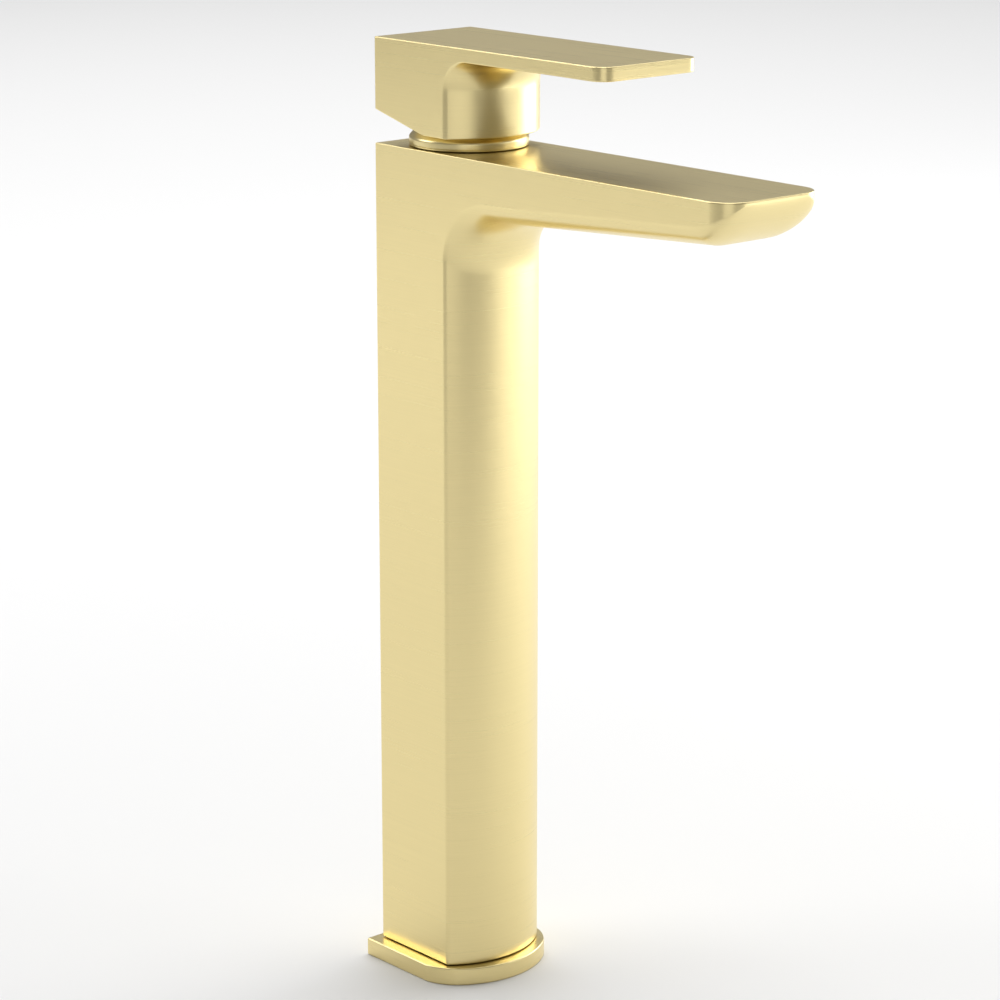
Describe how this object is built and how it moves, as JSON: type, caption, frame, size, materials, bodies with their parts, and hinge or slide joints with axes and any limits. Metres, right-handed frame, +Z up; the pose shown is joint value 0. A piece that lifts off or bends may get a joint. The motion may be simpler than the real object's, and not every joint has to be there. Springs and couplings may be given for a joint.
{
  "type": "bathroom mixer faucet",
  "caption": "Tall deck-mounted single-lever basin mixer with a flat square spout, a flat lever and a D-shaped base plate.",
  "frame": {"origin": "on the cartridge axis at the deck plane, under the base plate", "axes": "+Z up along the cartridge axis; the spout and the lever point to -Y; X is across, hot inlet on -X"},
  "size_m": [0.05, 0.1626, 0.3721],
  "materials": {
    "brushed_brass": "satin brushed",
    "raw_brass": "machined",
    "steel": "satin",
    "rubber": "matte",
    "ceramic": "lapped",
    "white_plastic": "matte",
    "grey_plastic": "matte"
  },
  "bodies": {
    "faucet_body": {"body_casting": "brushed_brass", "base_plate": "brushed_brass", "collar_ring": "brushed_brass", "aerator_sleeve": "brushed_brass", "inlet_block": "raw_brass", "hot_supply_tube": "raw_brass", "cold_supply_tube": "raw_brass", "cartridge_nut": "raw_brass", "fixing_nut": "raw_brass", "block_screw_hot": "steel", "block_screw_cold": "steel", "horseshoe_plate": "steel", "fixing_stud": "steel", "base_gasket": "rubber", "hot_port_seal": "rubber", "cold_port_seal": "rubber", "chamber_seal": "rubber", "hot_upper_tube_seal": "rubber", "hot_lower_tube_seal": "rubber", "cold_upper_tube_seal": "rubber", "cold_lower_tube_seal": "rubber", "aerator_washer": "rubber", "horseshoe_rubber": "rubber", "fixed_disc": "ceramic", "cartridge_base": "white_plastic", "cartridge_housing": "white_plastic", "aerator_insert": "white_plastic"},
    "cartridge_rotor": {"stem_carrier": "grey_plastic", "stem_pin": "steel"},
    "disc_carriage": {"moving_disc": "ceramic", "disc_driver": "grey_plastic"},
    "lever": {"handle": "brushed_brass", "stem": "steel", "handle_grub_screw": "steel", "screw_cap": "brushed_brass"}
  },
  "joints": [
    {"name": "temperature", "type": "hinge", "parent": "faucet_body", "child": "cartridge_rotor", "pos_m": [0, 0, 0.2665], "axis": [0, 0, 1], "range_deg": [-45, 45]},
    {"name": "lever_lift", "type": "hinge", "parent": "cartridge_rotor", "child": "lever", "pos_m": [0, 0, 0.2665], "axis": [-1, 0, 0], "range_deg": [0, 20]},
    {"name": "disc_slide", "type": "slide", "parent": "cartridge_rotor", "child": "disc_carriage", "axis": [0, -1, 0], "range_m": [0, 0.0018]}
  ],
  "couplings": [
    {"joint": "disc_slide", "follows": "lever_lift", "m_per_rad": 0.005}
  ]
}
